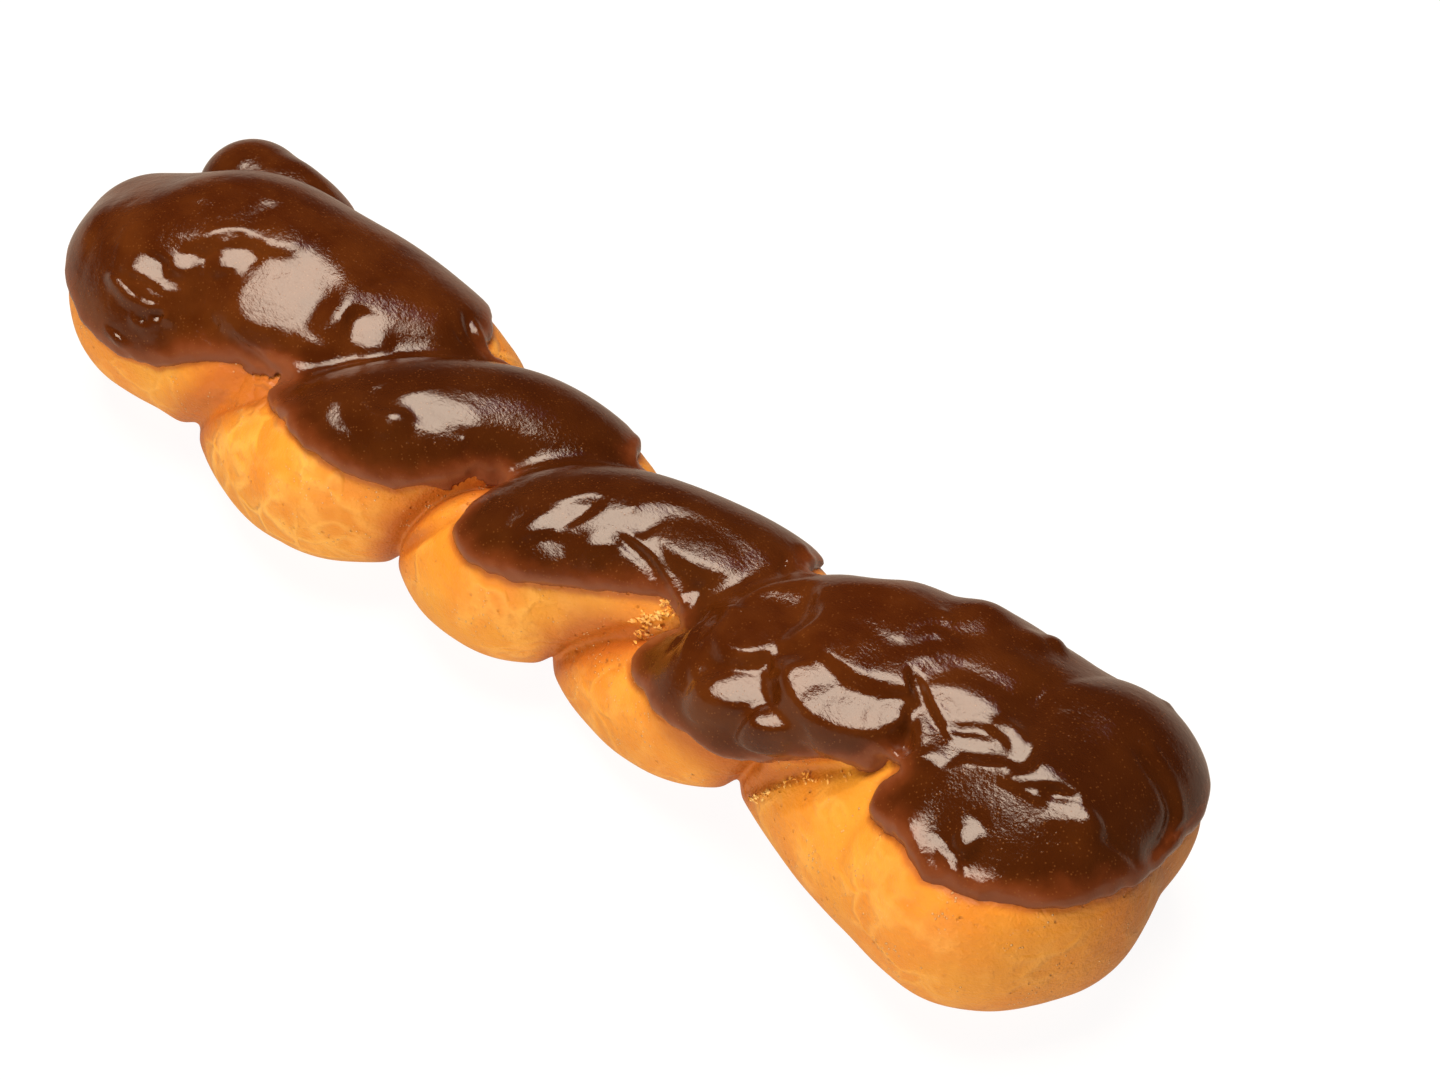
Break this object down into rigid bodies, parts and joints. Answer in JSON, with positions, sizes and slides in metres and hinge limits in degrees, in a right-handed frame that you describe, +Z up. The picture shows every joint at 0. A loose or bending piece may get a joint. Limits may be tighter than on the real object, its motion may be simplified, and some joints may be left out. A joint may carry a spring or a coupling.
{
  "type": "iced twist doughnut",
  "caption": "Twisted doughnut of two fried dough strands wound together, its top dipped in chocolate icing; it rests on small flats under the crossings.",
  "frame": {"origin": "bottom centre of the box around the iced twist", "axes": "+X along the twist towards its broad end, +Y towards the side away from the picture's camera, +Z up"},
  "size_m": [0.2282, 0.0642, 0.0395],
  "materials": {
    "dough": "satin fried crust",
    "icing": "glossy"
  },
  "bodies": {
    "root": {"dough": "dough", "icing": "icing"}
  },
  "joints": []
}
